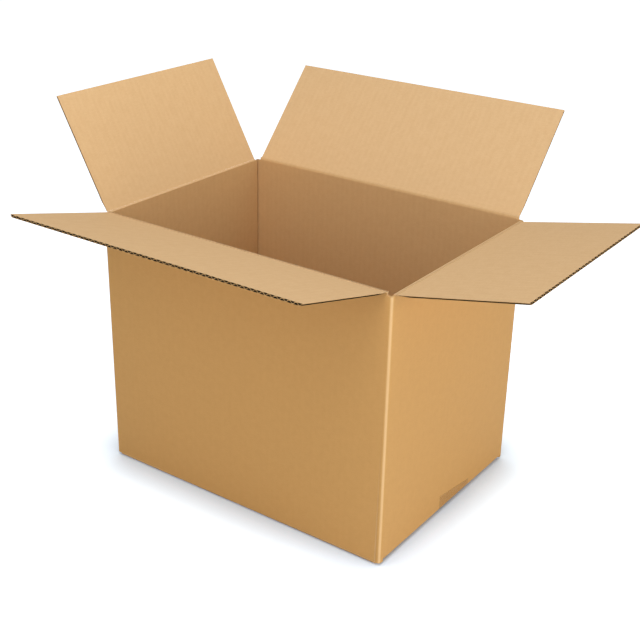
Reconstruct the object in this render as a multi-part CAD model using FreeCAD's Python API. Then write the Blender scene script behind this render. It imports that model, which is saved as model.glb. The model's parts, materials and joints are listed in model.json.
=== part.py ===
import FreeCAD, Part
import math
import os

# Open regular slotted carton of single-wall corrugated board, standing on its closed, taped bottom.
# Millimetres. +Z is up, the origin lies on the floor under the middle of the four walls,
# X runs along the long panels and the front long panel faces -Y.
# The board's flutes run straight up the walls and on through the flaps, square to each fold.

V = FreeCAD.Vector
UP = V(0, 0, 1)

# Board
BOARD = 3.4                  # thickness, both liners and the fluted medium
LINER = 0.35                 # thickness of one flat liner
MEDIUM = 0.3                 # thickness of the wavy medium
FLUTE_PITCH = 7.9            # crest to crest, the size known as C flute
CREST_HALF = 0.6             # half of the narrow strip where a crest is glued to a liner
LONG_FLUTES = 50             # flutes across a long flap
SHORT_FLUTES = 36            # flutes across a short flap

# Carton, outside sizes
SLOT_INSET = 7.2             # from a corner of the carton to the side edge of a flap
LENGTH = LONG_FLUTES * FLUTE_PITCH + 2 * SLOT_INSET
WIDTH = SHORT_FLUTES * FLUTE_PITCH + 2 * SLOT_INSET
FLAP_DEPTH = 149.2           # fold to cut edge, so two long flaps meet over the middle
LAY_GAP = 0.2                # air between flaps that lie on one another
LONG_FOLD_Z = 336.0          # fold lines of the two long top flaps
SHORT_FOLD_Z = LONG_FOLD_Z - BOARD - LAY_GAP
SLOT_DROP = 0.8              # the slots between the flaps are cut this far below the lower folds
SLOT_FLOOR_Z = SHORT_FOLD_Z - SLOT_DROP

# Folds
FOLD_OUTER = 4.4             # outside radius of a square fold
FOLD_INNER = FOLD_OUTER - BOARD
RIM_GAP = 0.15               # from a top fold's axis down to the rim, and out to the flap's inner face
BEAD_R = 0.4                 # paper bead on the axis, part of the wall
BEAD_FIT = 0.05              # running gap between the bead and the flap's groove
OPEN_DEG = 150.0             # how far a flap folds back, outwards from upright
OPEN_CLEAR_DEG = 1.0         # air left between the flap's root and the wall there
PRESSED = 1.4                # thickness of a flap's root where the score has pressed it flat
PRESS_REACH = 10.0           # from the fold to where a flap has its full thickness and open flutes

# Rest angles of the top flaps, outwards from upright
FRONT_DEG = 75.6
BACK_DEG = 42.0
RIGHT_DEG = 78.2
LEFT_DEG = 29.3

# Bottom and glued joint
SEAM = 1.2                   # gap between the two outer bottom flaps
TAB_REACH = 34.0             # glue tab, from its fold to its cut edge
TAB_TRIM = 14.0              # the tab is this much shorter than the wall at each end
TAB_TAPER = 9.0              # and narrows by this much more to its cut edge
JOINT_GAP = 2.0              # from the left panel's cut edge to the back panel

# Tape
TAPE_WIDTH = 72.0
TAPE_SHIFT = 20.0            # the strip was laid this far towards the back of the seam
TAPE = 0.1                   # thickness
TAPE_RISE_NEAR = 25.0        # right end's height at its front edge, it is cut askew
TAPE_RISE_FAR = 15.0         # right end's height at its back edge
TAPE_RISE_LEFT = 22.0        # left end's height


def prism(points, direction):
    """Solid swept from a flat polygon along a vector."""
    wire = Part.makePolygon([V(*p) for p in points] + [V(*points[0])])
    return Part.Face(wire).extrude(direction)


def block(x0, x1, y0, y1, z0, z1):
    return Part.makeBox(x1 - x0, y1 - y0, z1 - z0, V(x0, y0, z0))


def side_place(outward_deg, reach, fold_z):
    """Placement of a local frame on a fold axis: x along it, y outwards, z up."""
    turn = FreeCAD.Rotation(UP, outward_deg - 90.0)
    axis_point = turn.multVec(V(0, reach, fold_z))
    return FreeCAD.Placement(axis_point, turn)


# One row for each side: outward direction, distance to the outer face, fold height, flutes, rest angle.
SIDES = {
    "front": (-90.0, WIDTH / 2, LONG_FOLD_Z, LONG_FLUTES, FRONT_DEG),
    "back": (90.0, WIDTH / 2, LONG_FOLD_Z, LONG_FLUTES, BACK_DEG),
    "right": (0.0, LENGTH / 2, SHORT_FOLD_Z, SHORT_FLUTES, RIGHT_DEG),
    "left": (180.0, LENGTH / 2, SHORT_FOLD_Z, SHORT_FLUTES, LEFT_DEG),
}


def flute_openings():
    """Half widths of one open flute at its liner and at its crest, and its height."""
    core = BOARD - 2 * LINER
    run = FLUTE_PITCH / 2 - 2 * CREST_HALF
    slope = math.atan2(core, run)
    wall = MEDIUM / 2 / math.sin(slope)
    wide = FLUTE_PITCH / 2 - CREST_HALF - wall
    narrow = FLUTE_PITCH / 2 - CREST_HALF - run * (1 - MEDIUM / core) - wall
    return wide, narrow, core - MEDIUM


def fluted_section(flutes):
    """Cut edge of a flap at z = 0: two liners with the medium between, open flutes as holes."""
    wide, narrow, height = flute_openings()
    half = flutes * FLUTE_PITCH / 2
    inner_y = RIM_GAP
    outer_y = inner_y + BOARD
    near = outer_y - LINER
    far = inner_y + LINER
    outline = [
        V(-half, outer_y, 0), V(half, outer_y, 0),
        V(half, near, 0), V(half - wide, near, 0),
        V(half - narrow, near - height, 0), V(half, near - height, 0),
        V(half, inner_y, 0), V(-half, inner_y, 0),
        V(-half, near - height, 0), V(narrow - half, near - height, 0),
        V(wide - half, near, 0), V(-half, near, 0),
        V(-half, outer_y, 0),
    ]
    wires = [Part.makePolygon(outline)]
    for step in range(1, 2 * flutes):
        centre = step * FLUTE_PITCH / 2 - half
        if step % 2:
            base, tip = far, far + height
        else:
            base, tip = near, near - height
        hole = [V(centre - wide, base, 0), V(centre + wide, base, 0)]
        hole += [V(centre + narrow, tip, 0), V(centre - narrow, tip, 0), V(centre - wide, base, 0)]
        wires.append(Part.makePolygon(hole))
    return Part.makeFace(wires, "Part::FaceMakerBullseye")


def flap(flutes):
    """A top flap standing upright over its fold axis: open flutes, pressed root, groove for the bead."""
    half = flutes * FLUTE_PITCH / 2
    board = fluted_section(flutes)
    board.translate(V(0, 0, PRESS_REACH))
    board = board.extrude(V(0, 0, FLAP_DEPTH - PRESS_REACH))
    bevel = math.tan(math.radians(180 - OPEN_DEG - OPEN_CLEAR_DEG))
    root = prism([
        (-half, RIM_GAP, PRESS_REACH), (-half, RIM_GAP, RIM_GAP / bevel),
        (-half, RIM_GAP + PRESSED, (RIM_GAP + PRESSED) / bevel), (-half, RIM_GAP + BOARD, PRESS_REACH),
    ], V(2 * half, 0, 0))
    groove = Part.makeCylinder(BEAD_R + BEAD_FIT, 2 * half, V(-half, 0, 0), V(1, 0, 0))
    return board.fuse(root.cut(groove)).removeSplitter()


def crest(flutes, slot_floor):
    """Top strip of a wall between its slots, up to the rim, and the bead on the fold axis."""
    half = flutes * FLUTE_PITCH / 2
    strip = block(-half, half, -BOARD, 0, slot_floor - BOARD, -RIM_GAP)
    bead = Part.makeCylinder(BEAD_R, 2 * half, V(-half, 0, 0), V(1, 0, 0))
    return strip.fuse(bead)


def square_fold(reach_a, reach_b, place):
    """Flat section of board folded square, outer corner at the origin, legs along +X and +Y.

    reach_a and reach_b are the legs' lengths, measured on the outer faces.
    """
    r = FOLD_OUTER
    s = r * math.sqrt(0.5)
    q = FOLD_INNER * math.sqrt(0.5)
    edges = [
        Part.LineSegment(V(reach_a, 0, 0), V(r, 0, 0)),
        Part.Arc(V(r, 0, 0), V(r - s, r - s, 0), V(0, r, 0)),
        Part.LineSegment(V(0, r, 0), V(0, reach_b, 0)),
        Part.LineSegment(V(0, reach_b, 0), V(BOARD, reach_b, 0)),
        Part.LineSegment(V(BOARD, reach_b, 0), V(BOARD, r, 0)),
        Part.Arc(V(BOARD, r, 0), V(r - q, r - q, 0), V(r, BOARD, 0)),
        Part.LineSegment(V(r, BOARD, 0), V(reach_a, BOARD, 0)),
        Part.LineSegment(V(reach_a, BOARD, 0), V(reach_a, 0, 0)),
    ]
    face = Part.Face(Part.Wire([e.toShape() for e in edges]))
    face.Placement = place
    return face


def corner_post(x, y, turn_deg, z0, z1, reach_a, reach_b):
    """Upright folded corner of the wall, outer corner at (x, y)."""
    place = FreeCAD.Placement(V(x, y, z0), FreeCAD.Rotation(UP, turn_deg))
    return square_fold(reach_a, reach_b, place).extrude(V(0, 0, z1 - z0))


def walls():
    """The four panels, three square folds and the joint at the back left corner."""
    z0 = BOARD
    z1 = SLOT_FLOOR_Z
    a = LENGTH / 2
    b = WIDTH / 2
    leg = 2 * FOLD_OUTER
    posts = [
        corner_post(-a, -b, 0, z0, z1, leg, leg),
        corner_post(a, -b, 90, z0, z1, leg, leg),
        corner_post(a, b, 180, z0, z1, leg, leg),
    ]
    tab_fold = corner_post(-a - BOARD, b, 270, z0, z1, leg, leg)
    panels = [
        block(leg - a, a - leg, -b, BOARD - b, z0, z1),
        block(a - BOARD, a, leg - b, b - leg, z0, z1),
        block(leg - a - BOARD, a - leg, b - BOARD, b, z0, z1),
        block(-a, BOARD - a, leg - b, b - BOARD - JOINT_GAP, z0, z1),
    ]
    y_edge = b - TAB_REACH
    y_fold = b - FOLD_OUTER
    low = z0 + TAB_TRIM
    high = z1 - TAB_TRIM
    tab = prism([
        (-a - BOARD, y_fold, low), (-a - BOARD, y_edge, low + TAB_TAPER),
        (-a - BOARD, y_edge, high - TAB_TAPER), (-a - BOARD, y_fold, high),
    ], V(BOARD, 0, 0))
    trim = block(-a - 2 * BOARD, -a, b - 2 * leg, b + BOARD, z0 - 1, low)
    trim = trim.fuse(block(-a - 2 * BOARD, -a, b - 2 * leg, b + BOARD, high, z1 + 1))
    leg_box = block(-a - 2 * BOARD, -a, b - 2 * leg, y_fold, z0 - 1, z1 + 1)
    tab_fold = tab_fold.cut(leg_box).cut(trim)
    shape = posts[0]
    for piece in posts[1:] + panels + [tab_fold, tab]:
        shape = shape.fuse(piece)
    return shape


def bottom_flap(flutes, rise):
    """A bottom flap folded square under its wall, in the wall's frame with the outer corner at y = 0."""
    half = flutes * FLUTE_PITCH / 2
    turn = FreeCAD.Rotation(V(0, 0, 1), V(0, -1, 0), V(1, 0, 0), "ZXY")
    place = FreeCAD.Placement(V(-half, 0, rise), turn)
    section = square_fold(3 * FOLD_OUTER, FLAP_DEPTH - SEAM / 2, place)
    return section.extrude(V(2 * half, 0, 0))


def bottom_room(flutes, rise):
    half = flutes * FLUTE_PITCH / 2
    return block(-half, half, -2 * BOARD, BOARD, -BOARD, rise + 3 * FOLD_OUTER)


def carton_body():
    """Walls, glue tab and closed bottom of one folded sheet, less the four moving top flaps."""
    shape = walls()
    for outward, reach, fold_z, flutes, rest in SIDES.values():
        top = side_place(outward, reach, fold_z)
        foot = FreeCAD.Placement(top.Rotation.multVec(V(0, reach, 0)), top.Rotation)
        rise = LONG_FOLD_Z - fold_z
        room = bottom_room(flutes, rise)
        room.Placement = foot
        shape = shape.cut(room)
        rim = crest(flutes, SLOT_FLOOR_Z - fold_z)
        rim.Placement = top
        base = bottom_flap(flutes, rise)
        base.Placement = foot.multiply(base.Placement)
        shape = shape.fuse(rim).fuse(base)
    bed = block(-LENGTH, LENGTH, TAPE_SHIFT - TAPE_WIDTH / 2, TAPE_SHIFT + TAPE_WIDTH / 2, -TAPE, TAPE)
    return shape.cut(bed).removeSplitter()


def tape_outline(grow):
    """Points of the tape's path in XZ, moved outwards by grow, from the bottom up the right end."""
    centre = V(LENGTH / 2 - FOLD_OUTER, 0, BOARD + LAY_GAP + FOLD_OUTER)
    corner = V(LENGTH / 2 - SLOT_INSET, 0, TAPE)
    back = corner - centre
    angle = math.atan2(back.z, back.x) + math.acos(FOLD_OUTER / back.Length)
    normal = V(math.cos(angle), 0, math.sin(angle))
    tangent = centre + normal * (FOLD_OUTER + grow)
    along = V(normal.z, 0, -normal.x)
    low_z = TAPE - grow
    bend = tangent + along * ((low_z - tangent.z) / along.z)
    mid = angle / 2
    arc_mid = centre + V(math.cos(mid), 0, math.sin(mid)) * (FOLD_OUTER + grow)
    side = V(LENGTH / 2 + grow, 0, centre.z)
    return bend, tangent, arc_mid, side


def tape_half(grow, height):
    """Everything on the right within the tape's path, as a slab of the tape's width."""
    bend, tangent, arc_mid, side = tape_outline(grow)
    top = V(side.x, 0, height)
    edges = [
        Part.LineSegment(V(0, 0, bend.z), bend),
        Part.LineSegment(bend, tangent),
        Part.Arc(tangent, arc_mid, side),
        Part.LineSegment(side, top),
        Part.LineSegment(top, V(0, 0, height)),
        Part.LineSegment(V(0, 0, height), V(0, 0, bend.z)),
    ]
    face = Part.Face(Part.Wire([e.toShape() for e in edges]))
    face.translate(V(0, TAPE_SHIFT - TAPE_WIDTH / 2, 0))
    return face.extrude(V(0, TAPE_WIDTH, 0))


def bottom_tape():
    """Clear strip over the bottom seam that turns up both short panels."""
    right = tape_half(TAPE, TAPE_RISE_NEAR).cut(tape_half(0.0, 2 * TAPE_RISE_NEAR))
    near = TAPE_SHIFT - TAPE_WIDTH / 2
    far = TAPE_SHIFT + TAPE_WIDTH / 2
    askew = prism([
        (LENGTH / 4, near, TAPE_RISE_NEAR), (LENGTH / 4, far, TAPE_RISE_FAR),
        (LENGTH / 4, far, TAPE_RISE_NEAR),
    ], V(LENGTH, 0, 0))
    left = tape_half(TAPE, TAPE_RISE_LEFT).cut(tape_half(0.0, 2 * TAPE_RISE_LEFT))
    left = left.mirror(V(0, 0, 0), V(1, 0, 0))
    return right.cut(askew).fuse(left).removeSplitter()


def top_flap(side):
    """One of the four top flaps at its rest angle."""
    outward, reach, fold_z, flutes, rest = SIDES[side]
    shape = flap(flutes)
    lean = FreeCAD.Placement(V(0, 0, 0), FreeCAD.Rotation(V(1, 0, 0), -rest))
    shape.Placement = side_place(outward, reach, fold_z).multiply(lean)
    return shape


def export(name, shape):
    solids = shape.Solids
    solid = solids[0]
    size = solid.BoundBox
    print(name, "solids", len(solids), "valid", shape.isValid(), "faces", len(solid.Faces),
          "volume cm3", round(solid.Volume / 1000, 2),
          "x", round(size.XMin, 2), round(size.XMax, 2), "y", round(size.YMin, 2), round(size.YMax, 2),
          "z", round(size.ZMin, 2), round(size.ZMax, 2))
    solid.exportStep(f"parts/{name}.step")


os.makedirs("parts", exist_ok=True)
export("carton_body", carton_body())
export("bottom_tape", bottom_tape())
for name in SIDES:
    export(f"{name}_flap", top_flap(name))
    place = side_place(*SIDES[name][:3])
    along = -place.Rotation.multVec(V(1, 0, 0))
    print("  axis through", [round(c, 4) for c in place.Base], "along", [round(c, 6) for c in along])
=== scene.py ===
# %% [markdown]
# # Open cardboard box
#
# A carton is one sheet of corrugated board: two flat paper liners with a wavy paper between them. The exact
# solids of the sheet are loaded first, as a frame that nothing moves. Each step after that makes one thing
# that the frame can't show: the flutes in the cut edges, the two colours of the liners, the tape, the light.

# %% Load the frame
import json
import math

import bmesh
import bpy
from mathutils import Matrix, Vector


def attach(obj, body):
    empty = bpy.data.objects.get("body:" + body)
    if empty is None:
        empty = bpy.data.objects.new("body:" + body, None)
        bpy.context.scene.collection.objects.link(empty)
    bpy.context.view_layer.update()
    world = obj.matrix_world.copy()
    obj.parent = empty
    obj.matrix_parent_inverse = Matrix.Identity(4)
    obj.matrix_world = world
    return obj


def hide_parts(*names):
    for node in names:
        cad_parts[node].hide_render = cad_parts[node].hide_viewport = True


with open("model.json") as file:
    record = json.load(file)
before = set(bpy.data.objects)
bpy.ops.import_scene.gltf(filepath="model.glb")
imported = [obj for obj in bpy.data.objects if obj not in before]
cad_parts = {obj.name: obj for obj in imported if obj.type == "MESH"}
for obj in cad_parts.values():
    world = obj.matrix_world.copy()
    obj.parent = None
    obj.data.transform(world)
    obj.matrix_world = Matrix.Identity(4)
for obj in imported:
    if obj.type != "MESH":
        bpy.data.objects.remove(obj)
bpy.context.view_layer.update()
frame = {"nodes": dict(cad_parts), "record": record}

print("frame nodes:", sorted(frame["nodes"]))

# %% [markdown]
# ## Sizes
#
# Everything is in metres. The board is C flute, whose waves repeat every 7.9 mm, and the flaps are a whole
# number of waves wide. These are the sizes that the solids were drawn from, so the visible board can be
# built on the same fold lines.

# %% Sizes of the board and the fold lines
MM = 0.001
BOARD = 3.4 * MM
LINER = 0.3 * MM
MEDIUM = 0.6 * MM            # with the fuzz of its cut edge
PITCH = 7.9 * MM
FLAP_DEPTH = 149.2 * MM
RIM_GAP = 0.15 * MM          # from a fold line out to the flap's inner face
PRESSED = 1.4 * MM           # the score presses a flap's root to this thickness
PRESS_START = 2.8 * MM
PRESS_REACH = 10.0 * MM      # from here on a flap has its full thickness
ROOT_SLOPE = math.tan(math.radians(29.0))
ROOT_START = 0.45 * MM       # the root begins at least this far from the fold line
HALF_LENGTH = 204.7 * MM
HALF_WIDTH = 149.4 * MM
LONG_FOLD_Z = 336.0 * MM     # fold lines of the front and back flaps
SHORT_FOLD_Z = 332.4 * MM    # the short flaps fold one board lower, so that they close first
LONG_FLUTES = 50
SHORT_FLUTES = 36

# outward direction in degrees, distance of the fold from the middle, fold height, flutes, and how far the
# flap leans outwards from upright
FLAPS = {
    "front_flap": (-90.0, HALF_WIDTH, LONG_FOLD_Z, LONG_FLUTES, 75.6),
    "back_flap": (90.0, HALF_WIDTH, LONG_FOLD_Z, LONG_FLUTES, 42.0),
    "right_flap": (0.0, HALF_LENGTH, SHORT_FOLD_Z, SHORT_FLUTES, 78.2),
    "left_flap": (180.0, HALF_LENGTH, SHORT_FOLD_Z, SHORT_FLUTES, 29.3),
}
for flutes in (LONG_FLUTES, SHORT_FLUTES):
    print(flutes, "flutes make a flap", round(flutes * PITCH / MM, 1), "mm wide")

# %% [markdown]
# ## One helper for nodes
#
# Materials and Geometry Nodes are both graphs. One small function adds a node, fills its sockets and
# links it, so that the graphs below read like sentences.


# %% Node helper and colours
def add_node(tree, kind, sockets=None, **settings):
    """One node in a graph, with its settings and links.

    A kind in capitals is an operation of the Math node. Sockets are filled in order or by name, each with a
    value, another node's output, or another node, which stands for its first output.
    """
    if kind.isupper():
        kind, settings = "ShaderNodeMath", {"operation": kind}
    made = tree.nodes.new(kind)
    for name, value in settings.items():
        setattr(made, name, value)
    if isinstance(sockets, tuple):
        sockets = dict(enumerate(sockets))
    for key, value in (sockets or {}).items():
        if isinstance(value, bpy.types.Node):
            value = value.outputs[0]
        if isinstance(value, bpy.types.NodeSocket):
            tree.links.new(value, made.inputs[key])
        else:
            made.inputs[key].default_value = value
    return made


def linear(hex_colour):
    """An sRGB hex colour as the linear RGBA that Blender's sockets take."""
    parts = [int(hex_colour[i:i + 2], 16) / 255 for i in (1, 3, 5)]
    return (*[c / 12.92 if c <= 0.04045 else ((c + 0.055) / 1.055) ** 2.4 for c in parts], 1.0)


# %% [markdown]
# ## Camera
#
# The view is from the right front, a little above the rim. The straight edges of the box give the
# place and the focal length: long enough that upright edges stay almost parallel.

# %% Camera
# the camera leans to one side by its roll, as a hand-held one does
CAMERA_AT = Vector((0.76231, -1.07502, 0.79515))
CAMERA_LOOKS = Vector((-0.52151, 0.74626, -0.41367))
CAMERA_ROLL = math.radians(1.2623)
SENSOR = 36.0
FOCAL_IN_IMAGES = 1157.34 / 640

camera_data = bpy.data.cameras.new("camera")
camera_data.sensor_width = SENSOR
camera_data.lens = SENSOR * FOCAL_IN_IMAGES
camera = bpy.data.objects.new("camera", camera_data)
look = CAMERA_LOOKS.to_track_quat("-Z", "Y").to_matrix().to_4x4()
camera.matrix_world = Matrix.Translation(CAMERA_AT) @ look @ Matrix.Rotation(CAMERA_ROLL, 4, "Z")
bpy.context.scene.collection.objects.link(camera)
bpy.context.scene.camera = camera
bpy.context.scene.view_settings.view_transform = "Standard"
print("lens", round(camera_data.lens, 2), "mm")

# %% [markdown]
# ## Stage and light
#
# Things like this are shot on a white sweep under large soft lamps. The sky is a weak even white. One
# softbox hangs overhead, one stands high in front for the back flap, one stands low in front for the long
# wall, and a slightly warm one at the right lifts the short wall. The floor is matt white. A light of its
# own, seen by the camera alone, brings it up to paper white; an occlusion mask dims that light near the box,
# which paints the soft shadow round the box's foot. There it is a little blue, against the warm light that
# the box throws on it.

# %% World, lamps and floor
SKY = 0.22
FLOOR_LIFT = 0.92            # the floor's own light where nothing stands near
CONTACT_DEPTH = 1.9          # how much the floor darkens where little of the sky is open to it
CONTACT_REACH = 70 * MM      # the soft contact shadow fades out over this distance
FLOOR_HALF = 20.0
FLOOR_PAPER = (0.8, 0.8, 0.8, 1.0)
FLOOR_COOL = (0.62, 0.72, 0.88, 1.0)
FLOOR_GLOW = (0.93, 0.98, 1.0, 1.0)
FLOOR_DROP = 0.3 * MM        # a hair below the box, so that no two faces share a plane


def white_to_the_eye(tree):
    """1 for rays that come from the camera, a mirror or a glass, 0 for the ones that light the object."""
    path = add_node(tree, "ShaderNodeLightPath")
    seen = add_node(tree, "MAXIMUM", (path.outputs["Is Camera Ray"], path.outputs["Is Glossy Ray"]))
    seen = add_node(tree, "MAXIMUM", (seen, path.outputs["Is Transmission Ray"]))
    return seen.outputs[0]


world = bpy.data.worlds.new("white_studio")
world.use_nodes = True
world.node_tree.nodes.clear()
sky = add_node(world.node_tree, "ShaderNodeBackground", {"Color": (1, 1, 1, 1), "Strength": SKY})
white = add_node(world.node_tree, "ShaderNodeBackground", {"Color": (1, 1, 1, 1), "Strength": 1.0})
both = add_node(world.node_tree, "ShaderNodeMixShader", (white_to_the_eye(world.node_tree), sky, white))
add_node(world.node_tree, "ShaderNodeOutputWorld", {"Surface": both})
bpy.context.scene.world = world


def softbox(name, place, aim, size, watts, colour=(1.0, 1.0, 1.0)):
    """A square soft lamp that points at its aim."""
    lamp = bpy.data.lights.new(name, "AREA")
    lamp.size = size
    lamp.energy = watts
    lamp.color = colour
    obj = bpy.data.objects.new(name, lamp)
    obj.location = place
    obj.rotation_euler = (Vector(aim) - Vector(place)).to_track_quat("-Z", "Y").to_euler()
    bpy.context.scene.collection.objects.link(obj)
    return obj


softbox("overhead_softbox", (0.3, -0.4, 1.95), (0.0, -0.1, 0.3), 1.1, 16.2)
softbox("key_softbox", (0.5, -1.7, 1.8), (0.0, 0.0, 0.35), 1.2, 10.0)
softbox("front_softbox", (0.4, -2.7, 0.95), (0.0, 0.0, 0.25), 1.3, 16.5)
softbox("right_softbox", (2.5, 0.1, 0.55), (0.0, 0.0, 0.2), 1.1, 26.0, (1.0, 0.985, 0.9))

floor_material = bpy.data.materials.new("matt_white_sweep_paper")
floor_material.use_nodes = True
floor_tree = floor_material.node_tree
floor_tree.nodes.clear()
seen = white_to_the_eye(floor_tree)
cooled = add_node(floor_tree, "ShaderNodeMix",
                  {0: seen, 6: FLOOR_PAPER, 7: FLOOR_COOL}, data_type="RGBA")
paper = add_node(floor_tree, "ShaderNodeBsdfDiffuse", {"Color": cooled.outputs[2]})
# the floor's own glow is dimmed where the box hides the sky nearby: a painted contact shadow
contact = add_node(floor_tree, "ShaderNodeAmbientOcclusion", {"Distance": CONTACT_REACH}, samples=8)
lift = add_node(floor_tree, "MULTIPLY", (seen, FLOOR_LIFT))
open_share = add_node(floor_tree, "POWER", (contact.outputs["AO"], CONTACT_DEPTH))
lift = add_node(floor_tree, "MULTIPLY", (lift, open_share))
glow = add_node(floor_tree, "ShaderNodeEmission", {"Color": FLOOR_GLOW, "Strength": lift})
mixed = add_node(floor_tree, "ShaderNodeAddShader", (paper, glow))
add_node(floor_tree, "ShaderNodeOutputMaterial", {"Surface": mixed})

floor_mesh = bpy.data.meshes.new("floor")
corners = [(x * FLOOR_HALF, y * FLOOR_HALF, 0) for x, y in ((-1, -1), (1, -1), (1, 1), (-1, 1))]
floor_mesh.from_pydata(corners, [], [(0, 1, 2, 3)])
floor_mesh.materials.append(floor_material)
floor = bpy.data.objects.new("floor", floor_mesh)
floor.location.z = -FLOOR_DROP
bpy.context.scene.collection.objects.link(floor)

# %% [markdown]
# ## Kraft liner
#
# Kraftliner is unbleached paper, made on a machine that lays most fibres one way, so it is mottled in soft
# clouds and has short streaks along that way. Glued over flutes, it sinks a little between the crests, which
# gives the faint washboard of stripes 7.9 mm apart, drawn as a bump and also as painted shade in the colour.
# The outer liner is a warmer tan than the inner one.
# The pattern reads a map in metres that runs with the sheet (across the flutes, along the flutes), so it
# turns with each flap.

# %% Paper material
SHEET_MAP = "sheet"
FIBRE_CLOUD = 9.0 * MM       # soft clouds where the pulp was thicker
FIBRE_FLOC = 1.6 * MM        # finer flocs of fibre
STREAK = (7.0 * MM, 0.9 * MM)
SPECK = 3.5 * MM             # spacing of the few dark bark specks
RELIEF = 0.12 * MM           # height of the fibres
# how much the upright folds are lightened: partly rubbed fibres, partly a painted highlight on the bend
RUB_HIGHLIGHT_START, RUB_HIGHLIGHT_FULL = 0.28, 0.50     # X times Y of the normal, which is 0.5 in the middle of a square fold
RUB_HIGHLIGHT_SHARE = 0.6


def paper_material(name, colour, dark, mottle, washboard_shade, roughness, rubbed_and_highlit=None):
    """Unbleached kraft paper, matt, with a weak sheen where light grazes the calendered surface."""
    material = bpy.data.materials.new(name)
    material.use_nodes = True
    tree = material.node_tree
    tree.nodes.clear()
    sheet = add_node(tree, "ShaderNodeUVMap", uv_map=SHEET_MAP)
    cloud = add_node(tree, "ShaderNodeTexNoise",
                     {"Vector": sheet, "Scale": 1 / FIBRE_CLOUD, "Detail": 2.0}, noise_dimensions="2D")
    floc = add_node(tree, "ShaderNodeTexNoise",
                    {"Vector": sheet, "Scale": 1 / FIBRE_FLOC, "Detail": 3.0}, noise_dimensions="2D")
    along = add_node(tree, "ShaderNodeMapping",
                     {"Vector": sheet, "Scale": (1 / STREAK[0], 1 / STREAK[1], 1.0)})
    streak = add_node(tree, "ShaderNodeTexNoise",
                      {"Vector": along, "Scale": 1.0, "Detail": 2.0}, noise_dimensions="2D")
    parts = add_node(tree, "ShaderNodeSeparateXYZ", (sheet,))
    turn = add_node(tree, "MULTIPLY", (parts, 2 * math.pi / PITCH))
    wave = add_node(tree, "COSINE", (turn,))

    tone = add_node(tree, "ADD", (cloud, floc))
    tone = add_node(tree, "ADD", (tone, streak))
    # the flute wave also shifts the colour in stripes: painted shade of the sunken liner
    tone = add_node(tree, "MULTIPLY_ADD", (wave, washboard_shade, tone))
    shade = add_node(tree, "ShaderNodeMapRange", (tone, 1.1, 1.9, 0.5 - mottle, 0.5 + mottle))
    tint = add_node(tree, "ShaderNodeMix",
                    {0: shade, 6: linear(dark), 7: linear(colour)}, data_type="RGBA")

    speck = add_node(tree, "ShaderNodeTexVoronoi",
                     {"Vector": along, "Scale": STREAK[0] / SPECK}, voronoi_dimensions="2D")
    dot = add_node(tree, "ShaderNodeMapRange", (speck, 0.02, 0.07, 0.75, 1.0))
    inked = add_node(tree, "ShaderNodeMix",
                     {0: 1.0, 6: tint.outputs[2], 7: dot}, data_type="RGBA", blend_type="MULTIPLY")

    # a mask on the normal lightens the upright folds: partly rubbed fibres, partly a painted highlight
    if rubbed_and_highlit:
        facing = add_node(tree, "ShaderNodeSeparateXYZ",
                          (add_node(tree, "ShaderNodeTexCoord").outputs["Normal"],))
        corner = add_node(tree, "MULTIPLY", (facing, facing.outputs[1]))
        corner = add_node(tree, "ABSOLUTE", (corner,))
        on_fold = add_node(tree, "ShaderNodeMapRange",
                           (corner, RUB_HIGHLIGHT_START, RUB_HIGHLIGHT_FULL, 0.0, RUB_HIGHLIGHT_SHARE), interpolation_type="SMOOTHSTEP")
        inked = add_node(tree, "ShaderNodeMix",
                         {0: on_fold, 6: inked.outputs[2], 7: linear(rubbed_and_highlit)}, data_type="RGBA")

    bump = add_node(tree, "ShaderNodeBump", {"Strength": 0.35, "Distance": RELIEF, "Height": tone})
    skin = add_node(tree, "ShaderNodeBsdfPrincipled",
                    {"Base Color": inked.outputs[2], "Roughness": roughness, "IOR": 1.5,
                     "Specular IOR Level": 0.25, "Normal": bump})
    add_node(tree, "ShaderNodeOutputMaterial", {"Surface": skin})
    return material


# calendered on the outside, so a little smoother, and paler along the upright folds: partly rubbed fibres,
# partly a painted highlight
outer_liner = paper_material("outer_kraft_liner_calendered", "#D1A161", "#CD9D5D", 0.5, 0.05, 0.62,
                             rubbed_and_highlit="#F2CE9C")
# rougher and paler inside, and on the walls a little deeper: painted shade for the dimmer light inside the
# box
inner_liner = paper_material("inner_kraft_liner", "#DBB788", "#D6B081", 0.5, 0.10, 0.75)
wall_liner_painted_shade = paper_material("inner_kraft_liner_walls_painted_shade", "#D3AC79", "#CEA573", 0.5, 0.10, 0.75)
# the wavy paper and the liners' faces inside the board are drawn nearly black: painted shade of the flutes'
# insides
flute_shade_paper = paper_material("wavy_paper_painted_flute_shade", "#33261A", "#2A1E13", 0.5, 0.0, 0.85)
# a knife leaves torn fibres, which are greyer and duller than the paper's face
cut_edge = paper_material("knife_cut_board_edge", "#CFA873", "#BC935E", 0.5, 0.0, 0.9)
print("paper materials:", [m.name for m in (outer_liner, inner_liner, wall_liner_painted_shade, flute_shade_paper, cut_edge)])

# %% [markdown]
# ## Fluted board for the flaps
#
# A flap's cut edge is where a viewer sees that the board is hollow. A picture of waves would not catch the
# light, so the wave is real: one Geometry Nodes tree lays out two liners and the medium between them from
# the pitch and the number of flutes. A pressed score thins the board towards the fold. The tree is
# built once and used for all four flaps with other numbers.

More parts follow.
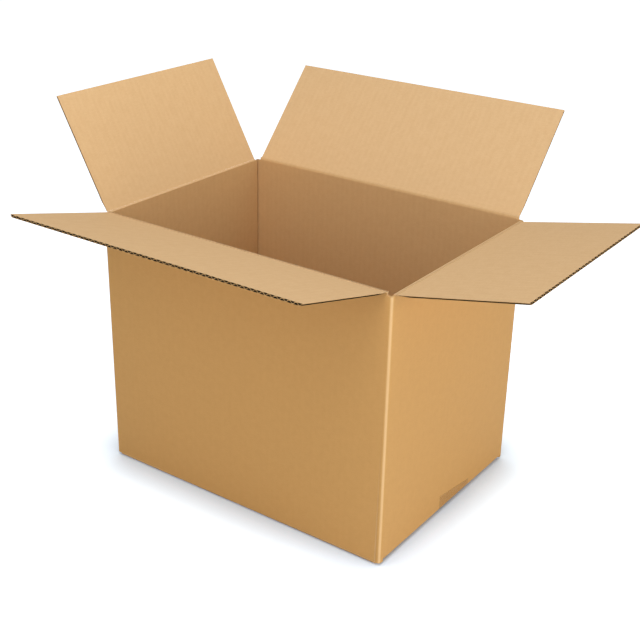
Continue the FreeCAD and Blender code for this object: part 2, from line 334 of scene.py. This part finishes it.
# %% Geometry Nodes tree of the fluted board
COLUMNS = 10                 # points for each wave of the medium
LINER_COLUMNS = 4
ROWS = 15
ROW_CROWDING = 2.1           # rows lie closer together at the fold, where the score bends the board
CREST_FLATNESS = 0.35        # the wave is flattened where it is glued
WASHBOARD = 0.07 * MM        # the liners sink this far between the crests
EDGE_WEAR = 0.45 * MM        # depth of the bites along the worn tip
WEAR_GRAIN = 6.0 * MM        # and their spacing
TIP_SHARE = 0.99             # only the last hundredth of the depth is worn
PINCHED = 0.6                # the slotting knife squeezes the board's side edges to this share
PINCH_REACH = 4.0 * MM
SIDE_CUT_REACH = 1.2 * MM         # how far in from a side edge the board's inside shows the cut edge's colour instead of the painted flute shade
FACING = 0.7                 # a face whose normal has more than this of a direction faces it
SAME_POINT = 0.002 * MM


def sheet_of_paper(tree, inputs, columns, height, thickness, number):
    """A closed sheet over the whole flap. height is where its outer side lies in the board's thickness."""
    flutes, pitch, depth = inputs["Flutes"], inputs["Pitch"], inputs["Depth"]
    width = add_node(tree, "MULTIPLY", (flutes, pitch))
    count = add_node(tree, "MULTIPLY_ADD", (flutes, float(columns), 1.0))
    grid = add_node(tree, "GeometryNodeMeshGrid",
                    {"Size X": width, "Size Y": depth, "Vertices X": count, "Vertices Y": ROWS})
    place = add_node(tree, "GeometryNodeInputPosition")
    xyz = add_node(tree, "ShaderNodeSeparateXYZ", (place,))
    along = add_node(tree, "ADD", (xyz.outputs[1], add_node(tree, "MULTIPLY", (depth, 0.5))))
    at = add_node(tree, "ShaderNodeCombineXYZ", (xyz, height, along))
    laid = add_node(tree, "GeometryNodeSetPosition", {0: grid, "Position": at})
    thick = add_node(tree, "GeometryNodeExtrudeMesh",
                     {0: laid, "Offset Scale": thickness, "Individual": False}, mode="FACES")
    back = add_node(tree, "GeometryNodeFlipFaces", (laid,))
    joined = add_node(tree, "GeometryNodeJoinGeometry")
    tree.links.new(thick.outputs[0], joined.inputs[0])
    tree.links.new(back.outputs[0], joined.inputs[0])
    closed = add_node(tree, "GeometryNodeMergeByDistance", {0: joined, "Distance": SAME_POINT})
    marked = add_node(tree, "GeometryNodeStoreNamedAttribute",
                      {0: closed, "Name": "paper", "Value": number}, data_type="INT", domain="FACE")
    return marked.outputs[0]


def fluted_board_tree():
    """The tree and its inputs. It makes a flap upright over its fold line, which runs along X."""
    tree = bpy.data.node_groups.new("fluted_board", "GeometryNodeTree")
    tree.interface.new_socket(name="Geometry", in_out="INPUT", socket_type="NodeSocketGeometry")
    sizes = {}
    for name in ("Flutes", "Pitch", "Depth", "Board", "Liner", "Medium", "Washboard", "Edge wear"):
        kind = "NodeSocketInt" if name == "Flutes" else "NodeSocketFloat"
        sizes[name] = tree.interface.new_socket(name=name, in_out="INPUT", socket_type=kind)
    tree.interface.new_socket(name="Geometry", in_out="OUTPUT", socket_type="NodeSocketGeometry")
    enter = add_node(tree, "NodeGroupInput")
    inputs = {name: enter.outputs[name] for name in sizes}
    board, liner, medium = inputs["Board"], inputs["Liner"], inputs["Medium"]

    # the wave: 1 at a crest under the outer liner, -1 on the inner liner, flattened where it is glued
    place = add_node(tree, "GeometryNodeInputPosition")
    x = add_node(tree, "ShaderNodeSeparateXYZ", (place,))
    half = add_node(tree, "MULTIPLY",
                    (add_node(tree, "MULTIPLY", (inputs["Flutes"], inputs["Pitch"])), 0.5))
    turns = add_node(tree, "DIVIDE", (add_node(tree, "ADD", (x, half)), inputs["Pitch"]))
    swing = add_node(tree, "COSINE", (add_node(tree, "MULTIPLY_ADD", (turns, 2 * math.pi, math.pi)),))
    flat = add_node(tree, "SUBTRACT", (1.0, add_node(tree, "MULTIPLY", (swing, swing))))
    wave = add_node(tree, "MULTIPLY",
                    (swing, add_node(tree, "MULTIPLY_ADD", (flat, CREST_FLATNESS, 1.0))))

    core = add_node(tree, "SUBTRACT", (board, add_node(tree, "MULTIPLY", (liner, 2.0))))
    reach = add_node(tree, "MULTIPLY", (add_node(tree, "SUBTRACT", (core, medium)), 0.5))
    middle = add_node(tree, "MULTIPLY_ADD", (board, 0.5, add_node(tree, "MULTIPLY", (medium, 0.5))))
    wavy = add_node(tree, "MULTIPLY_ADD", (wave, reach, middle))
    sink = add_node(tree, "MULTIPLY", (inputs["Washboard"], 0.5))
    dip_out = add_node(tree, "MULTIPLY", (add_node(tree, "SUBTRACT", (1.0, swing)), sink))
    dip_in = add_node(tree, "MULTIPLY", (add_node(tree, "ADD", (1.0, swing)), sink))
    outside = add_node(tree, "SUBTRACT", (board, dip_out))
    inside = add_node(tree, "ADD", (liner, dip_in))

    papers = add_node(tree, "GeometryNodeJoinGeometry")
    for sheet in (
        sheet_of_paper(tree, inputs, LINER_COLUMNS, inside, liner, 1),
        sheet_of_paper(tree, inputs, COLUMNS, wavy, medium, 2),
        sheet_of_paper(tree, inputs, LINER_COLUMNS, outside, liner, 0),
    ):
        tree.links.new(sheet, papers.inputs[0])

    # the paper map, in metres across and along the flutes
    flat_place = add_node(tree, "ShaderNodeSeparateXYZ", (place,))
    chart = add_node(tree, "ShaderNodeCombineXYZ", (flat_place, flat_place.outputs[2]))
    mapped = add_node(tree, "GeometryNodeStoreNamedAttribute",
                      {0: papers, "Name": SHEET_MAP, "Value": chart}, data_type="FLOAT2", domain="CORNER")

    # the score: thin at the fold, full after ten millimetres, and bevelled so that it can open wide
    y = flat_place.outputs[1]
    share = add_node(tree, "POWER",
                     (add_node(tree, "DIVIDE", (flat_place.outputs[2], inputs["Depth"])), ROW_CROWDING))
    far = add_node(tree, "MULTIPLY", (share, inputs["Depth"]))
    press = add_node(tree, "ShaderNodeMapRange",
                     (far, PRESS_START, PRESS_REACH, PRESSED / BOARD, 1.0),
                     interpolation_type="SMOOTHSTEP")
    inset = add_node(tree, "SUBTRACT", (half, add_node(tree, "ABSOLUTE", (x,))))
    pinch = add_node(tree, "ShaderNodeMapRange",
                     (inset, 0.0, PINCH_REACH, PINCHED, 1.0), interpolation_type="SMOOTHSTEP")
    press = add_node(tree, "MULTIPLY", (press, pinch))
    out = add_node(tree, "MULTIPLY_ADD", (y, press, RIM_GAP))
    start = add_node(tree, "MAXIMUM", (add_node(tree, "DIVIDE", (out, ROOT_SLOPE)), ROOT_START))
    ragged = add_node(tree, "ShaderNodeTexNoise",
                      {"Vector": place, "Scale": 1 / WEAR_GRAIN, "Detail": 3.0}, noise_dimensions="3D")
    at_tip = add_node(tree, "ShaderNodeMapRange", (share, TIP_SHARE, 1.0, 0.0, 1.0))
    bite = add_node(tree, "MULTIPLY", (add_node(tree, "MULTIPLY", (ragged, inputs["Edge wear"])), at_tip))
    run = add_node(tree, "MULTIPLY", (add_node(tree, "SUBTRACT", (inputs["Depth"], start)), share))
    up = add_node(tree, "SUBTRACT", (add_node(tree, "ADD", (start, run)), bite))
    bent = add_node(tree, "ShaderNodeCombineXYZ", (flat_place, out, up))
    scored = add_node(tree, "GeometryNodeSetPosition", {0: mapped, "Position": bent})

    shaped = add_node(tree, "GeometryNodeRealizeInstances", (scored,))
    which = add_node(tree, "GeometryNodeInputNamedAttribute", {"Name": "paper"}, data_type="INT")
    dressed = add_node(tree, "GeometryNodeSetMaterial", {0: shaped, "Material": outer_liner})
    facing = add_node(tree, "ShaderNodeSeparateXYZ", (add_node(tree, "GeometryNodeInputNormal"),))
    at_side = add_node(tree, "LESS_THAN", (inset, SIDE_CUT_REACH))
    # which sheet, the side of it that is meant, whether all of it or its cut sides alone, what shows there
    for number, side, everywhere, material in (
        (1, None, True, inner_liner),
        (2, None, True, flute_shade_paper),
        (1, ("Y", 1.0), True, flute_shade_paper),
        (0, ("Y", -1.0), True, flute_shade_paper),
        (2, None, False, cut_edge),
        (1, ("Y", 1.0), False, cut_edge),
        (0, ("Y", -1.0), False, cut_edge),
        (2, ("Z", 1.0), True, cut_edge),
    ):
        chosen = add_node(tree, "FunctionNodeCompare",
                          {2: which, 3: number}, data_type="INT", operation="EQUAL")
        if side:
            towards = add_node(tree, "MULTIPLY", (facing.outputs[side[0]], side[1]))
            chosen = add_node(tree, "FunctionNodeBooleanMath",
                              (chosen, add_node(tree, "GREATER_THAN", (towards, FACING))), operation="AND")
        if not everywhere:
            chosen = add_node(tree, "FunctionNodeBooleanMath", (chosen, at_side), operation="AND")
        dressed = add_node(tree, "GeometryNodeSetMaterial",
                           {0: dressed, "Selection": chosen, "Material": material})
    add_node(tree, "NodeGroupOutput", (dressed,))
    return tree, sizes


board_tree, board_inputs = fluted_board_tree()
print("fluted board tree has", len(board_tree.nodes), "nodes")


# %% Helpers that turn a modifier into a plain mesh
def frozen(obj):
    """The evaluated mesh of an object as plain data. The object with its modifier is removed."""
    bpy.context.view_layer.update()
    depsgraph = bpy.context.evaluated_depsgraph_get()
    mesh = bpy.data.meshes.new_from_object(obj.evaluated_get(depsgraph), depsgraph=depsgraph)
    bpy.data.objects.remove(obj)
    return mesh


def piece(name, mesh, body, slot, *nodes):
    """An object at the origin that stands for CAD nodes and moves with their body."""
    mesh.name = name
    obj = bpy.data.objects.new(name, mesh)
    bpy.context.scene.collection.objects.link(obj)
    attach(obj, body)
    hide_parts(*nodes)
    return obj


def smooth_by_angle(mesh, degrees):
    """Soft shading over gentle bends, and a sharp line where faces meet at more than this angle."""
    mesh.polygons.foreach_set("use_smooth", [True] * len(mesh.polygons))
    mesh.set_sharp_from_angle(angle=math.radians(degrees))


# %% [markdown]
# ## The four flaps
#
# Each flap is generated upright over its own fold line, leaned back by its rest angle and then turned to its
# side of the box. Only the numbers differ.

# %% Flaps
FLAP_SHARP = 50              # degrees between two faces from which their edge is drawn sharp
BODY_OF = {node: body for body, nodes in frame["record"]["behaviour"]["bodies"].items() for node in nodes}

for name, (outward, reach, fold_z, flutes, lean) in FLAPS.items():
    carrier = bpy.data.objects.new("carrier", bpy.data.meshes.new("carrier"))
    bpy.context.scene.collection.objects.link(carrier)
    maker = carrier.modifiers.new("fluted_board", "NODES")
    maker.node_group = board_tree
    values = {"Flutes": flutes, "Pitch": PITCH, "Depth": FLAP_DEPTH, "Board": BOARD, "Liner": LINER,
              "Medium": MEDIUM, "Washboard": WASHBOARD, "Edge wear": EDGE_WEAR}
    for label, value in values.items():
        maker[board_inputs[label].identifier] = value
    mesh = frozen(carrier)
    tilt = Matrix.Rotation(math.radians(-lean), 4, "X")
    turn = Matrix.Rotation(math.radians(outward - 90.0), 4, "Z")
    mesh.transform(Matrix.Translation(turn @ Vector((0, reach, fold_z))) @ turn @ tilt)
    smooth_by_angle(mesh, FLAP_SHARP)
    piece(name + "_board", mesh, BODY_OF[name], "kraft_board", name)
    print(name, "has", len(mesh.polygons), "faces")

# %% [markdown]
# ## Walls and bottom
#
# The walls are flat board with rounded folds, which the solid already has. A copy of its triangles is
# merged into clean faces, and each face gets the liner that shows there: the outer one where it faces
# away from the goods, the inner one where it faces them, and bare edge where the knife cut.

# %% Walls
EDGE_Z = 7.1 * MM            # the cut edges of the bottom flaps lie below this height
WALL_ZONE = 4.0 * MM         # and further in than this
SHORT_WALL_ZONE = 5.0 * MM   # what is closer to the side than this is a short wall
RIM_ZONE = 0.3 * MM          # the rim begins this far below a fold line
SLOT_ZONE = 8.0 * MM         # the slots between the flaps lie this close to a corner
SLOT_DEPTH = 2.0 * MM
UPRIGHT = 0.5                # a face whose normal has less than this of Z stands upright
WALL_SHARP = 35
FLAT_DEGREES = 0.3           # faces that turn by less than this are one
WELD = 0.004 * MM


def liner_of(centre, normal):
    """0 outer liner, 1 inner liner with painted shade, 2 cut edge, 3 inner liner on the rim, as light as on
    the flaps.
    """
    from_side = HALF_LENGTH - abs(centre.x)
    from_front = HALF_WIDTH - abs(centre.y)
    if centre.z < EDGE_Z and min(from_side, from_front) > WALL_ZONE and abs(normal.z) < UPRIGHT:
        return 2
    fold_z = SHORT_FOLD_Z if from_side < SHORT_WALL_ZONE else LONG_FOLD_Z
    if centre.z > fold_z - RIM_ZONE:
        return 3
    if abs(normal.z) > FACING:
        if centre.z > SHORT_FOLD_Z - SLOT_DEPTH and max(from_side, from_front) < SLOT_ZONE:
            return 2
        return 0 if normal.z < 0 else 1
    return 0 if normal.x * centre.x + normal.y * centre.y > 0 else 1


def on_sheet(point, centre, normal):
    """A point's place on the paper map: across the flutes, then along them."""
    if abs(normal.z) < FACING:
        return (point.x if abs(normal.y) >= abs(normal.x) else point.y, point.z)
    if abs(centre.y) / HALF_WIDTH > abs(centre.x) / HALF_LENGTH:
        return point.x, point.y
    return point.y, point.x


body_mesh = bpy.data.meshes.new("carton_body_board")
work = bmesh.new()
work.from_mesh(frame["nodes"]["carton_body"].data)
bmesh.ops.remove_doubles(work, verts=work.verts, dist=WELD)
bmesh.ops.dissolve_limit(work, angle_limit=math.radians(FLAT_DEGREES), verts=work.verts, edges=work.edges)
chart = work.loops.layers.uv.new(SHEET_MAP)
for face in work.faces:
    centre = face.calc_center_median()
    face.material_index = liner_of(centre, face.normal)
    for loop in face.loops:
        loop[chart].uv = on_sheet(loop.vert.co, centre, face.normal)
work.to_mesh(body_mesh)
work.free()
# the walls' inside takes the darker copy of the inner liner, with painted shade
for material in (outer_liner, wall_liner_painted_shade, cut_edge, inner_liner):
    body_mesh.materials.append(material)
smooth_by_angle(body_mesh, WALL_SHARP)
piece("carton_body_board", body_mesh, BODY_OF["carton_body"], "kraft_board", "carton_body")
print("walls and bottom:", len(body_mesh.polygons), "faces")

# %% [markdown]
# ## Tape
#
# Clear packing tape is a thin film with a faintly brown glue, so it only darkens the board below a little.
# A dispenser's teeth leave a zigzag at its ends. The film lies a hair above the board.

# %% Tape material
tape_material = bpy.data.materials.new("clear_polypropylene_tape")
tape_material.use_nodes = True
tape_tree = tape_material.node_tree
tape_tree.nodes.clear()
film = add_node(tape_tree, "ShaderNodeBsdfPrincipled",
                {"Base Color": linear("#95651A"), "Roughness": 0.22, "IOR": 1.49, "Alpha": 0.1})
add_node(tape_tree, "ShaderNodeOutputMaterial", {"Surface": film})

# %% Tape
TAPE = 0.1 * MM
TAPE_WIDTH = 72.0 * MM
TAPE_SHIFT = 20.0 * MM       # it was laid this far towards the back of the seam
TAPE_RISES = {1: (25.0 * MM, 15.0 * MM), -1: (22.0 * MM, 22.0 * MM)}     # right end askew, left end square
AIR_SHARE = 0.3              # of the tape's thickness, left free over the board
TOOTH = 2.0 * MM
TOOTH_DEPTH = 0.7 * MM
FOLD_OUTER = 4.4 * MM        # outside radius of the short bottom flap's fold
LAY_GAP = 0.2 * MM
FOLD_Z = FOLD_OUTER + BOARD + LAY_GAP
SLOT_INSET = 7.2 * MM        # from a corner of the box to the side edge of a flap
BEND_STEPS = 8


def tape_path(lift):
    """Points in XZ on the right half, from the bottom's middle to the foot of the upright end."""
    centre = Vector((HALF_LENGTH - FOLD_OUTER, FOLD_Z))
    corner = Vector((HALF_LENGTH - SLOT_INSET, TAPE))
    back = corner - centre
    steepest = math.atan2(back.y, back.x) + math.acos(FOLD_OUTER / back.length)
    radius = FOLD_OUTER + lift
    bend = []
    for step in range(BEND_STEPS + 1):
        angle = steepest * (1 - step / BEND_STEPS)
        bend.append(centre + radius * Vector((math.cos(angle), math.sin(angle))))
    slope = Vector((math.sin(steepest), -math.cos(steepest)))
    ground = TAPE - lift
    leave = bend[0] + slope * ((ground - bend[0].y) / slope.y)
    return [Vector((0.0, ground)), leave] + bend


def tape_side(lift):
    """Rows of points over one side of the film, from the left end's edge to the right end's."""
    columns = round(2 * TAPE_WIDTH / TOOTH)
    path = tape_path(lift)
    rows = []
    for end in (-1, 1):
        stations = path if end > 0 else path[:0:-1]
        rises = TAPE_RISES[end]
        upright = []
        for column in range(columns + 1):
            share = column / columns
            rise = rises[0] + (rises[1] - rises[0]) * share - TOOTH_DEPTH * (column % 2)
            upright.append(Vector((end * path[-1].x, TAPE_SHIFT + TAPE_WIDTH * (share - 0.5), rise)))
        flat = [[Vector((end * at.x, top.y, at.y)) for top in upright] for at in stations]
        rows += flat + [upright] if end > 0 else [upright] + flat
    return rows


def closed_film(outer, inner):
    """A closed mesh between two grids of points that lie over one another."""
    rows, columns = len(outer), len(outer[0])
    count = rows * columns
    faces = []
    for row in range(rows - 1):
        for column in range(columns - 1):
            at = row * columns + column
            quad = (at, at + 1, at + columns + 1, at + columns)
            faces += [quad, tuple(count + i for i in reversed(quad))]
    border = list(range(columns))
    border += [row * columns + columns - 1 for row in range(1, rows)]
    border += [count - 1 - column for column in range(1, columns)]
    border += [row * columns for row in range(rows - 2, 0, -1)]
    for here, after in zip(border, border[1:] + border[:1]):
        faces.append((after, here, count + here, count + after))
    mesh = bpy.data.meshes.new("bottom_tape_film")
    mesh.from_pydata([point for row in outer + inner for point in row], [], faces)
    film = bmesh.new()
    film.from_mesh(mesh)
    bmesh.ops.recalc_face_normals(film, faces=film.faces)
    film.to_mesh(mesh)
    print("tape film:", len(faces), "faces,", round(film.calc_volume(signed=True) * 1e6, 2), "cm3")
    film.free()
    return mesh


tape_mesh = closed_film(tape_side(TAPE), tape_side(AIR_SHARE * TAPE))
tape_mesh.materials.append(tape_material)
piece("bottom_tape_film", tape_mesh, BODY_OF["bottom_tape"], "clear_tape", "bottom_tape")
